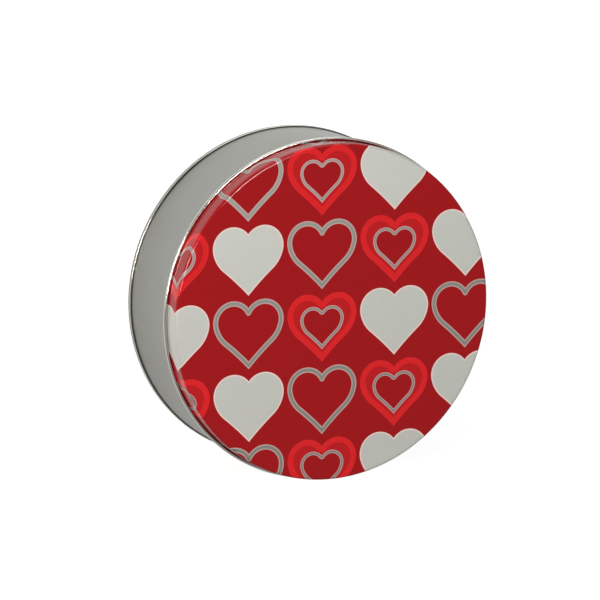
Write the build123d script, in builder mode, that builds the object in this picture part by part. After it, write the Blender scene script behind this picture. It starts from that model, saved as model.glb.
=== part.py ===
from build123d import *
from math import degrees
import os

# Round slip-lid keepsake tin, closed, standing on its base. Lengths in millimetres.
# Three pieces of tinplate: a body rolled into a cylinder and closed by a lock seam, a bottom
# end held to it by a double seam, and a drawn lid that slips over the body's curled top edge.
# +Z is up, and the origin is the middle of the base, on the surface the tin stands on.
# Every sheet profile is drawn along the middle of its sheet, in radius and height.

os.makedirs("parts", exist_ok=True)

# The whole tin
sheet = 0.25
body_outer_radius = 102.25
overall_height = 74.9

# The lid, and how it fits over the body
lid_side_gap = 0.3
lid_seat_gap = 0.2
lid_depth = 15.4
hem_roll = 2.25

# The body's curled top edge and its side seam
top_roll = 2.5
roll_wrap = 300
lock_seam_width = 4.0
lock_seam_layers = 3
lock_seam_end_gap = 0.5
lock_seam_angle = -30
lock_groove_width = 0.4
lock_groove_depth = 0.1

# The double seam and the bottom end's panel
seam_gap = 0.1
seam_height = 3.0
seam_corner_bend = 0.5
hook_relief = 0.175
countersink_depth = 3.3
panel_rim_bend = 0.8
panel_step_inset = 9.0
panel_step_width = 1.6
panel_step_drop = 0.8
panel_step_bend = 1.0

half_sheet = sheet / 2

# Radii of the seam's five layers, from the tin's inside to its outside
layer_pitch = sheet + seam_gap
wall_radius = body_outer_radius - half_sheet
chuck_wall_radius = wall_radius - layer_pitch
end_hook_radius = wall_radius + layer_pitch
body_hook_radius = end_hook_radius + layer_pitch
seam_wall_radius = body_hook_radius + layer_pitch

# Heights of the two bends that hook into each other
body_bend_height = half_sheet + layer_pitch + layer_pitch
end_bend_height = seam_height - half_sheet - layer_pitch

# The lid's shoulder is rolled round the body's curled edge, at the side gap
top_roll_bend = top_roll / 2 - half_sheet
shoulder_bend = top_roll / 2 + lid_side_gap + half_sheet
face_height = overall_height - half_sheet
skirt_radius = body_outer_radius + lid_side_gap + half_sheet
top_roll_height = overall_height - sheet - lid_seat_gap - top_roll / 2
hem_roll_height = overall_height - lid_depth + hem_roll / 2

# Body: hook of the double seam, plain wall, and the top edge curled inwards
with BuildPart() as body_wall:
    with BuildSketch(Plane.XZ):
        with BuildLine():
            hook = Line(
                (body_hook_radius, end_bend_height - hook_relief),
                (body_hook_radius, body_bend_height),
            )
            turn = JernArc(hook @ 1, hook % 1, layer_pitch, -180)
            wall = Line(turn @ 1, (wall_radius, top_roll_height))
            JernArc(wall @ 1, wall % 1, top_roll_bend, roll_wrap)
        trace(line_width=sheet)
    revolve(axis=Axis.Z)

    # Lock seam: the sheet's folded edges, pressed flat against the inside of the wall
    inner_radius = body_outer_radius - sheet
    lock_start = countersink_depth + sheet + lock_seam_end_gap
    lock_end = top_roll_height - top_roll / 2 - lock_seam_end_gap
    lock_arc = degrees(lock_seam_width / inner_radius)
    lock_plane = Plane.XZ.rotated((0, 0, lock_seam_angle))
    with BuildSketch(lock_plane):
        with Locations((wall_radius, lock_start)):
            Rectangle(
                lock_seam_layers * sheet + half_sheet,
                lock_end - lock_start,
                align=(Align.MAX, Align.MIN),
            )
    revolve(axis=Axis.Z, revolution_arc=lock_arc)

    # The fine line that the joined edges leave on the outside, above one side of the fold
    with BuildSketch(lock_plane):
        with Locations((body_outer_radius, lock_start)):
            Rectangle(lock_groove_depth, lock_end - lock_start, align=(Align.MAX, Align.MIN))
    revolve(
        axis=Axis.Z,
        revolution_arc=degrees(lock_groove_width / body_outer_radius),
        mode=Mode.SUBTRACT,
    )

body_wall.part.label = "body_wall"
export_step(body_wall.part, "parts/body_wall.step")

# Bottom end: stepped panel, chuck wall inside the body, and the hook folded into the seam
with BuildPart() as bottom_end:
    rim_height = countersink_depth + half_sheet
    step_radius = body_outer_radius - panel_step_inset
    with BuildSketch(Plane.XZ):
        with BuildLine():
            pressing = FilletPolyline(
                (0, rim_height - panel_step_drop),
                (step_radius - panel_step_width, rim_height - panel_step_drop),
                (step_radius, rim_height),
                (chuck_wall_radius, rim_height),
                (chuck_wall_radius, half_sheet),
                (seam_wall_radius, half_sheet),
                (seam_wall_radius, end_bend_height),
                radius=[
                    panel_step_bend,
                    panel_step_bend,
                    panel_rim_bend,
                    seam_corner_bend,
                    seam_corner_bend,
                ],
            )
            fold = JernArc(pressing @ 1, pressing % 1, layer_pitch, 180)
            Line(fold @ 1, (end_hook_radius, body_bend_height + hook_relief))
        trace(line_width=sheet)
    revolve(axis=Axis.Z)

bottom_end.part.label = "bottom_end"
export_step(bottom_end.part, "parts/bottom_end.step")

# Lid: flat face, rolled shoulder, skirt, and the hem rolled outwards
with BuildPart() as lid:
    with BuildSketch(Plane.XZ):
        with BuildLine():
            face = Line((0, face_height), (skirt_radius - shoulder_bend, face_height))
            shoulder = JernArc(face @ 1, face % 1, shoulder_bend, -90)
            skirt = Line(shoulder @ 1, (skirt_radius, hem_roll_height))
            JernArc(skirt @ 1, skirt % 1, hem_roll / 2 - half_sheet, roll_wrap)
        trace(line_width=sheet)
    revolve(axis=Axis.Z)

lid.part.label = "lid"
export_step(lid.part, "parts/lid.step")

print("across the hem", round(lid.part.bounding_box().size.X, 3))
print("height", round(lid.part.bounding_box().max.Z, 3))
print("across the seam", round(bottom_end.part.bounding_box().size.X, 3))
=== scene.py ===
from math import atan2, cos, degrees, hypot, radians, sin, tan

import bmesh
import bpy
from mathutils import Matrix, Quaternion, Vector


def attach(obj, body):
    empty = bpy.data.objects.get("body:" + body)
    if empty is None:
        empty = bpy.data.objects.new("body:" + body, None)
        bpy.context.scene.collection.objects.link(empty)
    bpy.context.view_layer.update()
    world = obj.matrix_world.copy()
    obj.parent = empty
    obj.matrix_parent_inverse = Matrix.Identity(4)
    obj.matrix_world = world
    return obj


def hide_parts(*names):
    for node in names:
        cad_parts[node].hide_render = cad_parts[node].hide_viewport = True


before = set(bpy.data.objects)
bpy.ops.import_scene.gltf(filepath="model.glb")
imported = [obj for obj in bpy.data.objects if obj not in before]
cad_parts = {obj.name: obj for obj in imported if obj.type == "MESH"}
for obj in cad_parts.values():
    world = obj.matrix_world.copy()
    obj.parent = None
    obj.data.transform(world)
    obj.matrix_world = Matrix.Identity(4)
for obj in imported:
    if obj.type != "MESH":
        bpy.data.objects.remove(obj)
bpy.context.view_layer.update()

# Body wall: one strip of satin tinplate rolled round and closed by a lock seam, folded flat on
# the inside. Its top edge is curled inwards, so that the lid slips over it and no hand meets a
# cut edge, and its bottom edge is flanged out and back up, to hook into the bottom end.
sheet = 0.00025
half_sheet = sheet / 2
overall_height = 0.0749
body_radius = 0.10225
top_roll = 0.0025
roll_wrap = 300
lid_seat_gap = 0.0002
seam_gap = 0.0001
seam_height = 0.003
hook_relief = 0.000175
countersink_depth = 0.0033

layer_pitch = sheet + seam_gap
wall_radius = body_radius - half_sheet
body_hook_radius = wall_radius + 2 * layer_pitch
body_bend_height = half_sheet + 2 * layer_pitch
end_bend_height = seam_height - half_sheet - layer_pitch
hook_height = end_bend_height - hook_relief
top_roll_height = overall_height - sheet - lid_seat_gap - top_roll / 2

lock_layers = 3
lock_angle = -30
lock_end_gap = 0.0005
lock_start = countersink_depth + sheet + lock_end_gap
lock_end = top_roll_height - top_roll / 2 - lock_end_gap
lock_arc = degrees(0.004 / (body_radius - sheet))
groove_depth = 0.0001
groove_arc = degrees(0.0004 / body_radius)

steps_round = 256
merge_distance = 0.000002
crease_angle = radians(40)


class SheetLine:
    """The middle line of a sheet's section, drawn on from point to point in radius and height.
    A heading of 0 is outwards and 90 is up, and a positive bend turns from outwards to up."""

    def __init__(self, radius, height, heading):
        self.at = Vector((radius, 0, height))
        self.heading = radians(heading)
        bpy.ops.object.select_all(action="DESELECT")
        bpy.ops.mesh.primitive_plane_add(size=sheet)
        bpy.ops.object.mode_set(mode="EDIT")
        bpy.ops.mesh.select_mode(type="VERT")
        bpy.ops.mesh.merge(type="CENTER")
        bpy.ops.transform.translate(value=self.at)

    def run(self, *lengths):
        for length in lengths:
            step = Vector((cos(self.heading), 0, sin(self.heading))) * length
            bpy.ops.mesh.extrude_vertices_move(TRANSFORM_OT_translate={"value": step})
            self.at = self.at + step

    def bend(self, radius, angle, steps):
        turn = radians(angle)
        side = radius if angle > 0 else -radius
        centre = self.at + Vector((-sin(self.heading), 0, cos(self.heading))) * side
        bpy.ops.mesh.spin(steps=steps, angle=turn, center=centre, axis=(0, 1, 0))
        self.at = centre + Matrix.Rotation(-turn, 3, "Y") @ (self.at - centre)
        self.heading += turn

    def spin_round(self, name, start=0, spins=((360, steps_round),)):
        """Spins the line round the tin's axis, and gives it the sheet's thickness."""
        bpy.ops.mesh.select_all(action="SELECT")
        bpy.ops.transform.rotate(
            value=-radians(start), orient_axis="Z", center_override=(0, 0, 0)
        )
        for angle, steps in spins:
            bpy.ops.mesh.spin(
                steps=steps, angle=-radians(angle), center=(0, 0, 0), axis=(0, 0, 1)
            )
        bpy.ops.mesh.select_all(action="SELECT")
        bpy.ops.mesh.remove_doubles(threshold=merge_distance)
        bpy.ops.mesh.normals_make_consistent(inside=False)
        bpy.ops.object.mode_set(mode="OBJECT")
        piece = bpy.context.object
        piece.name = name
        thickness = piece.modifiers.new("sheet thickness", "SOLIDIFY")
        thickness.thickness = sheet
        thickness.offset = 0
        bpy.ops.object.modifier_apply(modifier=thickness.name)
        bpy.ops.object.shade_smooth_by_angle(angle=crease_angle)
        return piece


line = SheetLine(body_hook_radius, hook_height, -90)
line.run(hook_height - body_bend_height)
line.bend(layer_pitch, -180, 8)
line.run(lock_start - body_bend_height, lock_end - lock_start, top_roll_height - lock_end)
line.bend(top_roll / 2 - half_sheet, roll_wrap, 24)
body_wall = line.spin_round(
    "rolled_body",
    lock_angle,
    ((groove_arc, 1), (lock_arc - groove_arc, 3), (360 - lock_arc, steps_round - 2)),
)


def pick_faces(piece, test):
    """Selects, in edit mode, the faces whose middle and normal pass the test."""
    mesh = bmesh.from_edit_mesh(piece.data)
    for face in mesh.faces:
        face.select_set(False)
    for face in mesh.faces:
        if test(face.calc_center_median(), face.normal):
            face.select_set(True)
    bmesh.update_edit_mesh(piece.data)


def in_seam_strip(arc, outside):
    """A test for the wall's faces beside the lock seam, on the outside or on the inside."""

    def test(middle, normal):
        angle = (degrees(atan2(middle.y, middle.x)) - lock_angle) % 360
        outwards = normal.x * middle.x + normal.y * middle.y > 0
        return lock_start < middle.z < lock_end and angle < arc and outwards == outside

    return test


bpy.ops.object.mode_set(mode="EDIT")
bpy.ops.mesh.select_mode(type="FACE")
pick_faces(body_wall, in_seam_strip(lock_arc, False))
bpy.ops.mesh.extrude_region_shrink_fatten(
    TRANSFORM_OT_shrink_fatten={"value": lock_layers * sheet}
)
pick_faces(body_wall, in_seam_strip(groove_arc, True))
bpy.ops.mesh.extrude_region_shrink_fatten(
    TRANSFORM_OT_shrink_fatten={"value": -groove_depth}
)
bpy.ops.object.mode_set(mode="OBJECT")
bpy.ops.object.shade_smooth_by_angle(angle=crease_angle)


def node_adder(tree):
    """Gives add(kind, *inputs, **settings), which adds a node and returns its output, and
    maths(operation, *inputs), the same for a Math node."""

    def add(kind, *inputs, output=0, **settings):
        node = tree.nodes.new("ShaderNode" + kind)
        for setting, value in settings.items():
            setattr(node, setting, value)
        for place, value in zip(node.inputs, inputs):
            if isinstance(value, bpy.types.NodeSocket):
                tree.links.new(value, place)
            elif value is not None:
                place.default_value = value
        return node.outputs[output]

    def maths(operation, *inputs):
        return add("Math", *inputs, operation=operation)

    return add, maths


def tinplate(name, dark, light, smooth, rough):
    """Bare tinplate: metal with the fine grain of the rolled sheet running round the tin."""
    material = bpy.data.materials.new(name)
    material.use_nodes = True
    tree = material.node_tree
    shader = tree.nodes["Principled BSDF"]
    add, maths = node_adder(tree)
    place = add("TexCoord", output=3)
    across_grain = add("Mapping", place)
    across_grain.node.inputs["Scale"].default_value = (60, 60, 5200)
    grain = add("TexNoise", across_grain, None, 1.0, 3.0, 0.6)
    cloud = add("TexNoise", place, None, 70.0, 2.0, 0.5)
    mixed = maths("ADD", maths("MULTIPLY", grain, 0.6), maths("MULTIPLY", cloud, 0.4))
    shades = tree.nodes.new("ShaderNodeValToRGB")
    shades.color_ramp.elements[0].position = 0.35
    shades.color_ramp.elements[0].color = (*dark, 1)
    shades.color_ramp.elements[1].position = 0.65
    shades.color_ramp.elements[1].color = (*light, 1)
    tree.links.new(mixed, shades.inputs[0])
    tree.links.new(shades.outputs[0], shader.inputs["Base Color"])
    tree.links.new(
        add("MapRange", mixed, 0.35, 0.65, smooth, rough), shader.inputs["Roughness"]
    )
    bump = add("Bump")
    bump.node.inputs["Strength"].default_value = 0.25
    bump.node.inputs["Distance"].default_value = 0.00002
    tree.links.new(grain, bump.node.inputs["Height"])
    tree.links.new(bump, shader.inputs["Normal"])
    shader.inputs["Metallic"].default_value = 1.0
    return material


satin_tin = tinplate("satin tinplate", (0.33, 0.335, 0.315), (0.37, 0.375, 0.355), 0.36, 0.46)
body_wall.data.materials.append(satin_tin)
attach(body_wall, "tin")
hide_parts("body_wall")

# Bottom end: a disc of tinplate pressed with one shallow step and a rim. The rim drops down
# inside the body, turns out under it, and is folded up over the body's flange and pressed flat
# in the double seam that the tin stands on. The seam's foot and the crease where it meets the
# body are painted nearly black, as painted shade and painted dark reflection.
edge_run = 0.0006
seam_corner_bend = 0.0005
panel_rim_bend = 0.0008
panel_step_inset = 0.009
panel_step_width = 0.0016
panel_step_drop = 0.0008
panel_step_bend = 0.001
foot_height = 0.0016

chuck_wall_radius = wall_radius - layer_pitch
seam_wall_radius = body_hook_radius + layer_pitch
rim_height = countersink_depth + half_sheet
step_radius = body_radius - panel_step_inset
step_angle = degrees(atan2(panel_step_drop, panel_step_width))
step_trim = panel_step_bend * tan(radians(step_angle) / 2)
step_slope = hypot(panel_step_drop, panel_step_width) - 2 * step_trim
panel_run = step_radius - panel_step_width - step_trim
rim_run = chuck_wall_radius - panel_rim_bend - step_radius - step_trim

line = SheetLine(0, rim_height - panel_step_drop, 0)
line.run(panel_run / 2, panel_run / 2 - edge_run, edge_run)
line.bend(panel_step_bend, step_angle, 4)
line.run(step_slope)
line.bend(panel_step_bend, -step_angle, 4)
line.run(edge_run, rim_run - 2 * edge_run, edge_run)
line.bend(panel_rim_bend, -90, 6)
line.run(rim_height - panel_rim_bend - seam_corner_bend - half_sheet)
line.bend(seam_corner_bend, 90, 5)
line.run(seam_wall_radius - chuck_wall_radius - 2 * seam_corner_bend)
line.bend(seam_corner_bend, 90, 5)
line.run(foot_height - half_sheet - seam_corner_bend, end_bend_height - foot_height)
line.bend(layer_pitch, 180, 10)
line.run(end_bend_height - body_bend_height - hook_relief)
bottom_end = line.spin_round("seamed_bottom_end")

bright_tin = tinplate("bright tinplate", (0.62, 0.61, 0.56), (0.72, 0.71, 0.66), 0.14, 0.22)
# Painted shade: nearly black tinplate that stands for the shade and dark reflections at the
# seam's foot and crease.
seam_shade_tin = tinplate("tinplate with painted seam shade", (0.06, 0.06, 0.05), (0.11, 0.11, 0.095), 0.40, 0.55)
bottom_end.data.materials.append(bright_tin)


def in_painted_seam_shade(middle, normal):
    """The foot that the tin stands on, and the crease where the seam meets the body, which get
    painted shade.
    """
    out = hypot(middle.x, middle.y)
    foot = out > chuck_wall_radius and middle.z < foot_height
    crease = middle.z > end_bend_height and body_radius < out < body_hook_radius
    return foot or crease


def finish_faces(piece, material, test):
    """Gives the faces that pass the test another finish than the rest of the piece."""
    piece.data.materials.append(material)
    bpy.ops.object.mode_set(mode="EDIT")
    bpy.ops.mesh.select_mode(type="FACE")
    pick_faces(piece, test)
    piece.active_material_index = len(piece.data.materials) - 1
    bpy.ops.object.material_slot_assign()
    bpy.ops.object.mode_set(mode="OBJECT")


# Paints shade and dark reflection on the seam's foot and crease.
finish_faces(bottom_end, seam_shade_tin, in_painted_seam_shade)
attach(bottom_end, "tin")
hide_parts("bottom_end")

# Lid: one drawn shell of tinplate with a flat face, a rolled shoulder, a straight skirt and a
# hem rolled outwards. Face, shoulder and skirt are printed while the sheet is flat, so the
# hearts wrap over the shoulder, and varnished to a high gloss. The hem and inside stay bare.
lid_side_gap = 0.0003
lid_depth = 0.0154
hem_roll = 0.00225

shoulder_bend = top_roll / 2 + lid_side_gap + half_sheet
skirt_radius = body_radius + lid_side_gap + half_sheet
face_height = overall_height - half_sheet
hem_height = overall_height - lid_depth + hem_roll / 2
face_run = skirt_radius - shoulder_bend
skirt_run = face_height - shoulder_bend - hem_height

line = SheetLine(0, face_height, 0)
line.run(face_run / 2, face_run / 2 - edge_run, edge_run)
line.bend(shoulder_bend, -90, 10)
line.run(edge_run, skirt_run - 2 * edge_run, edge_run)
line.bend(hem_roll / 2 - half_sheet, roll_wrap, 24)
lid = line.spin_round("printed_lid")
lid.data.materials.append(bright_tin)


def on_printed_side(middle, normal):
    """The outside of the face, shoulder and skirt, down to the hem."""
    flat_out = max(hypot(middle.x, middle.y) - face_run, 0)
    flat_up = max(middle.z - (face_height - shoulder_bend), 0)
    return (
        middle.z > hem_height
        and shoulder_bend < hypot(flat_out, flat_up) < shoulder_bend + 0.6 * sheet
    )


# The print repeats three hearts in a lattice. Half of a heart's outline is three arcs, each
# tangent to the next: the lobe, the side, and the nearly straight run down to the tip, here
# in millimetres from the heart's notch.
lattice_across, lattice_down = 47.93, 44.58
first_notch = (-56.18, 52.78)
lobe_centre, lobe_radius = Vector((10.05, -7.89)), 12.68
side_centre, side_radius = Vector((2.64, -6.49)), 20.22
run_centre, run_radius = Vector((130.28, -155.61)), 176.07
heart_top = 5.5
line_width = 3.1
line_edge = 0.6
heart_edge = 0.8
band_width = 3.7
small_heart_scale = 0.627
small_heart_drop = 6.1
small_line_width = 2.0
small_line_edge = 0.45
ink_bleed = 0.1

dark_red = (0.365, 0.004, 0.0065)
bright_red = (0.73, 0.0145, 0.0185)
middle_red = (0.525, 0.0085, 0.0115)
heart_silver = (0.575, 0.585, 0.54)
heart_edge_pink = (0.86, 0.68, 0.63)
line_silver = (0.28, 0.26, 0.24)
line_edge_pink = (0.54, 0.42, 0.38)
small_line_silver = (0.30, 0.225, 0.225)
line_metal = 0.65
heart_metal = 0.2


def heart_outline():
    """A node group: how deep a point lies inside the heart's outline, in millimetres, and how
    far it is from the middle of a line of the full line width drawn inside that outline."""
    group = bpy.data.node_groups.new("heart outline", "ShaderNodeTree")
    for way, names in (("INPUT", ("Across", "Up")), ("OUTPUT", ("Depth", "Off line"))):
        for name in names:
            group.interface.new_socket(name, in_out=way, socket_type="NodeSocketFloat")
    given = group.nodes.new("NodeGroupInput")
    result = group.nodes.new("NodeGroupOutput")
    add, maths = node_adder(group)
    across, up = maths("ABSOLUTE", given.outputs["Across"]), given.outputs["Up"]

    def measured_from(x, y):
        dx, dy = maths("SUBTRACT", across, x), maths("SUBTRACT", up, y)
        squares = maths("ADD", maths("MULTIPLY", dx, dx), maths("MULTIPLY", dy, dy))
        return dx, dy, maths("SQRT", squares)

    def left_of(dx, dy, way):
        return maths("SUBTRACT", maths("MULTIPLY", dy, way[0]), maths("MULTIPLY", dx, way[1]))

    def choose(test, yes, no):
        picked = maths("GREATER_THAN", test, 0.0)
        return maths("ADD", no, maths("MULTIPLY", picked, maths("SUBTRACT", yes, no)))

    lobe_x, lobe_y, from_lobe = measured_from(*lobe_centre)
    side_x, side_y, from_side = measured_from(*side_centre)
    from_run = measured_from(*run_centre)[2]
    above_side = left_of(lobe_x, lobe_y, lobe_centre - side_centre)
    above_run = left_of(side_x, side_y, run_centre - side_centre)
    lower = choose(
        above_run,
        maths("SUBTRACT", side_radius, from_side),
        maths("SUBTRACT", from_run, run_radius),
    )
    from_arcs = choose(above_side, maths("SUBTRACT", lobe_radius, from_lobe), lower)

    def round_notch(inset):
        """The arcs' distance past this inset, but measured from the notch where they end."""
        notch = lobe_centre.y + ((lobe_radius - inset) ** 2 - lobe_centre.x**2) ** 0.5
        past_end = left_of(lobe_x, lobe_y, (-lobe_centre.x, notch - lobe_centre.y))
        from_notch = measured_from(0.0, notch)[2]
        return choose(
            maths("MINIMUM", past_end, above_side),
            from_notch,
            maths("SUBTRACT", from_arcs, inset),
        )

    group.links.new(round_notch(0), result.inputs["Depth"])
    group.links.new(maths("ABSOLUTE", round_notch(line_width / 2)), result.inputs["Off line"])
    return group


heart_print = bpy.data.materials.new("heart print under varnish")
heart_print.use_nodes = True
tree = heart_print.node_tree
shader = tree.nodes["Principled BSDF"]
add, maths = node_adder(tree)

# Where a point was on the flat sheet: out along the face, round the shoulder, down the skirt
place = add("TexCoord", output=3)
in_mm = add("VectorMath", place, operation="SCALE")
in_mm.node.inputs["Scale"].default_value = 1000
x, y, z = (add("SeparateXYZ", in_mm, output=i) for i in range(3))
radius = maths("SQRT", maths("ADD", maths("MULTIPLY", x, x), maths("MULTIPLY", y, y)))
bend_start, bend_base = face_run * 1000, (face_height - shoulder_bend) * 1000
flat_out = maths("MAXIMUM", maths("SUBTRACT", radius, bend_start), 0.0)
flat_up = maths("MAXIMUM", maths("SUBTRACT", z, bend_base), 0.0)
round_bend = maths("MULTIPLY", maths("ARCTAN2", flat_out, flat_up), shoulder_bend * 1000)
down_skirt = maths("MAXIMUM", maths("SUBTRACT", bend_base, z), 0.0)
drawn = maths("ADD", maths("MINIMUM", radius, bend_start), maths("ADD", round_bend, down_skirt))
spread = maths("DIVIDE", drawn, maths("MAXIMUM", radius, 0.001))
flat_x, flat_y = maths("MULTIPLY", x, spread), maths("MULTIPLY", y, spread)

# Which heart of the lattice the point is in, and where it lies from that heart's notch
column = maths("DIVIDE", maths("SUBTRACT", flat_x, first_notch[0]), lattice_across)
near_column = maths("ROUND", column)
across = maths("MULTIPLY", maths("SUBTRACT", column, near_column), lattice_across)
row = maths("DIVIDE", maths("SUBTRACT", first_notch[1], flat_y), lattice_down)
near_row = maths("FLOOR", maths("ADD", row, heart_top / lattice_down))
up = maths("MULTIPLY", maths("SUBTRACT", near_row, row), lattice_down)
shift = maths("FLOORED_MODULO", near_row, 2.0)
kind = maths("FLOORED_MODULO", maths("ADD", near_column, shift), 3.0)
is_filled, is_outlined, is_nested = (
    maths("COMPARE", kind, float(number), 0.5) for number in range(3)
)

outline = heart_outline()


def measure_heart(across, up):
    heart = tree.nodes.new("ShaderNodeGroup")
    heart.node_tree = outline
    tree.links.new(across, heart.inputs["Across"])
    tree.links.new(up, heart.inputs["Up"])
    return heart.outputs["Depth"], heart.outputs["Off line"]


def over(distance, limit):
    """1 where the distance is over the limit and 0 where it is under, with a soft inked edge."""
    return add("MapRange", distance, limit - ink_bleed, limit + ink_bleed, 0.0, 1.0)


def under(distance, limit):
    return add("MapRange", distance, limit - ink_bleed, limit + ink_bleed, 1.0, 0.0)


def both(a, b):
    return maths("MULTIPLY", a, b)


depth, off_line = measure_heart(across, up)
small_across = maths("DIVIDE", across, small_heart_scale)
small_up = maths("DIVIDE", maths("ADD", up, small_heart_drop), small_heart_scale)
small_depth = measure_heart(small_across, small_up)[0]
small_depth = maths("MULTIPLY", small_depth, small_heart_scale)

line_here = both(is_outlined, under(off_line, line_width / 2))
line_core = both(is_outlined, under(off_line, line_width / 2 - line_edge))
small_line = both(over(small_depth, 0.0), under(small_depth, small_line_width))
small_line = both(is_nested, small_line)
small_core = both(
    over(small_depth, small_line_edge), under(small_depth, small_line_width - small_line_edge)
)
small_core = both(is_nested, small_core)
heart_here = both(is_filled, over(depth, 0.0))
heart_core = both(is_filled, over(depth, heart_edge))
inks = (
    (bright_red, both(is_nested, over(depth, 0.0))),
    (middle_red, both(is_nested, over(depth, band_width))),
    (dark_red, both(is_nested, over(small_depth, small_line_width / 2))),
    (line_edge_pink, maths("MAXIMUM", line_here, small_line)),
    (line_silver, line_core),
    (small_line_silver, small_core),
    (heart_edge_pink, heart_here),
    (heart_silver, heart_core),
)
skipped = [None] * 5
colour = (*dark_red, 1)
for ink, where in inks:
    colour = add("Mix", where, *skipped, colour, (*ink, 1), output=2, data_type="RGBA")

# Ink lies a little unevenly, silver ink is part metal, and the varnish has a faint ripple
uneven = add("TexNoise", place, None, 160.0, 3.0, 0.6)
uneven = add("MapRange", uneven, 0.3, 0.7, 0.985, 1.015)
inked = add("VectorMath", colour, operation="SCALE")
tree.links.new(uneven, inked.node.inputs["Scale"])
tree.links.new(inked, shader.inputs["Base Color"])
line_shine = maths("MULTIPLY", maths("MAXIMUM", line_core, small_core), line_metal)
heart_shine = maths("MULTIPLY", heart_core, heart_metal)
tree.links.new(maths("MAXIMUM", line_shine, heart_shine), shader.inputs["Metallic"])
ripple = add("Bump")
ripple.node.inputs["Strength"].default_value = 0.1
ripple.node.inputs["Distance"].default_value = 0.00002
tree.links.new(add("TexNoise", place, None, 700.0, 1.0, 0.5), ripple.node.inputs["Height"])
tree.links.new(ripple, shader.inputs["Coat Normal"])
shader.inputs["Roughness"].default_value = 0.42
shader.inputs["Specular IOR Level"].default_value = 0.0
shader.inputs["Coat Weight"].default_value = 0.9
shader.inputs["Coat Roughness"].default_value = 0.03
shader.inputs["Coat IOR"].default_value = 1.4

finish_faces(lid, heart_print, on_printed_side)
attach(lid, "lid")
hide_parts("lid")

# Floor: a plain pale sheet. It glows a little for the camera, so that it reads as white, and
# less in mirrors, and it keeps the tin's soft shadow.
seen_glow = 0.6
mirrored_glow = 0.15

bpy.ops.object.select_all(action="DESELECT")
bpy.ops.mesh.primitive_plane_add(size=8)
floor = bpy.context.object
floor.name = "floor"
floor_paper = bpy.data.materials.new("pale paper")
floor_paper.use_nodes = True
tree = floor_paper.node_tree
shader = tree.nodes["Principled BSDF"]
add, maths = node_adder(tree)
seen = add("LightPath", output=0)
mirrored = seen.node.outputs["Is Glossy Ray"]
glow = maths("MULTIPLY", seen, seen_glow)
glow = maths("ADD", glow, maths("MULTIPLY", mirrored, mirrored_glow))
tree.links.new(glow, shader.inputs["Emission Strength"])
shader.inputs["Emission Color"].default_value = (1, 1, 1, 1)
shader.inputs["Base Color"].default_value = (0.85, 0.85, 0.85, 1)
shader.inputs["Roughness"].default_value = 1.0
shader.inputs["Specular IOR Level"].default_value = 0.0
floor.data.materials.append(floor_paper)

# Light: a softbox nearly overhead, a longer one to the camera's left, and a low fill on the
# side of the body, in a dim room that is a little brighter in mirrors.
room_level = 0.1
mirrored_room = 0.2
lamp_distance = 1.3
middle_of_tin = Vector((0, 0, 0.06))

room = bpy.data.worlds.new("dim room")
bpy.context.scene.world = room
room.use_nodes = True
room.node_tree.nodes["Background"].inputs["Color"].default_value = (1, 1, 1, 1)
add, maths = node_adder(room.node_tree)
mirrored = add("LightPath", output=0).node.outputs["Is Glossy Ray"]
level = maths("ADD", maths("MULTIPLY", mirrored, mirrored_room), room_level)
room.node_tree.links.new(level, room.node_tree.nodes["Background"].inputs["Strength"])


def softbox(name, toward, size, watts, roll=0, tint=(1, 1, 1)):
    """A rectangular lamp in the direction given from the tin, and facing it."""
    direction = Vector(toward).normalized()
    lamp = bpy.data.lights.new(name, "AREA")
    lamp.shape = "RECTANGLE"
    lamp.size, lamp.size_y = size
    lamp.energy = watts
    lamp.color = tint
    holder = bpy.data.objects.new(name, lamp)
    bpy.context.scene.collection.objects.link(holder)
    facing = direction.to_track_quat("Z", "Y") @ Quaternion((0, 0, 1), radians(roll))
    holder.rotation_euler = facing.to_euler()
    holder.location = middle_of_tin + direction * lamp_distance


softbox("overhead softbox", (0.19, 0.13, 0.97), (0.36, 0.12), 6, roll=35)
softbox("left softbox", (-0.725, 0.208, 0.656), (0.5, 0.11), 10, tint=(1, 0.96, 0.92))
softbox("side fill", (0.15, 1, 0.35), (1.0, 0.3), 3.6)

# Camera: the photograph looks down on the lid from its upper left, with the hearts upright.
aim = Vector((-0.02272, 0.01014, 0.07487))
camera_distance = 2.1269
turn, tilt = radians(24.27), radians(11.89)
backward = Vector((-sin(turn) * cos(tilt), sin(tilt), cos(turn) * cos(tilt)))
rightward = Vector((0, 1, 0)).cross(backward).normalized()
upward = backward.cross(rightward)
lens = bpy.data.cameras.new("camera")
lens.sensor_width = 36
lens.lens = 214.12
lens.clip_end = 50
camera = bpy.data.objects.new("camera", lens)
bpy.context.scene.collection.objects.link(camera)
camera.matrix_world = (
    Matrix.Translation(aim + backward * camera_distance)
    @ Matrix((rightward, upward, backward)).transposed().to_4x4()
)
bpy.context.scene.camera = camera
bpy.context.scene.view_settings.view_transform = "Standard"
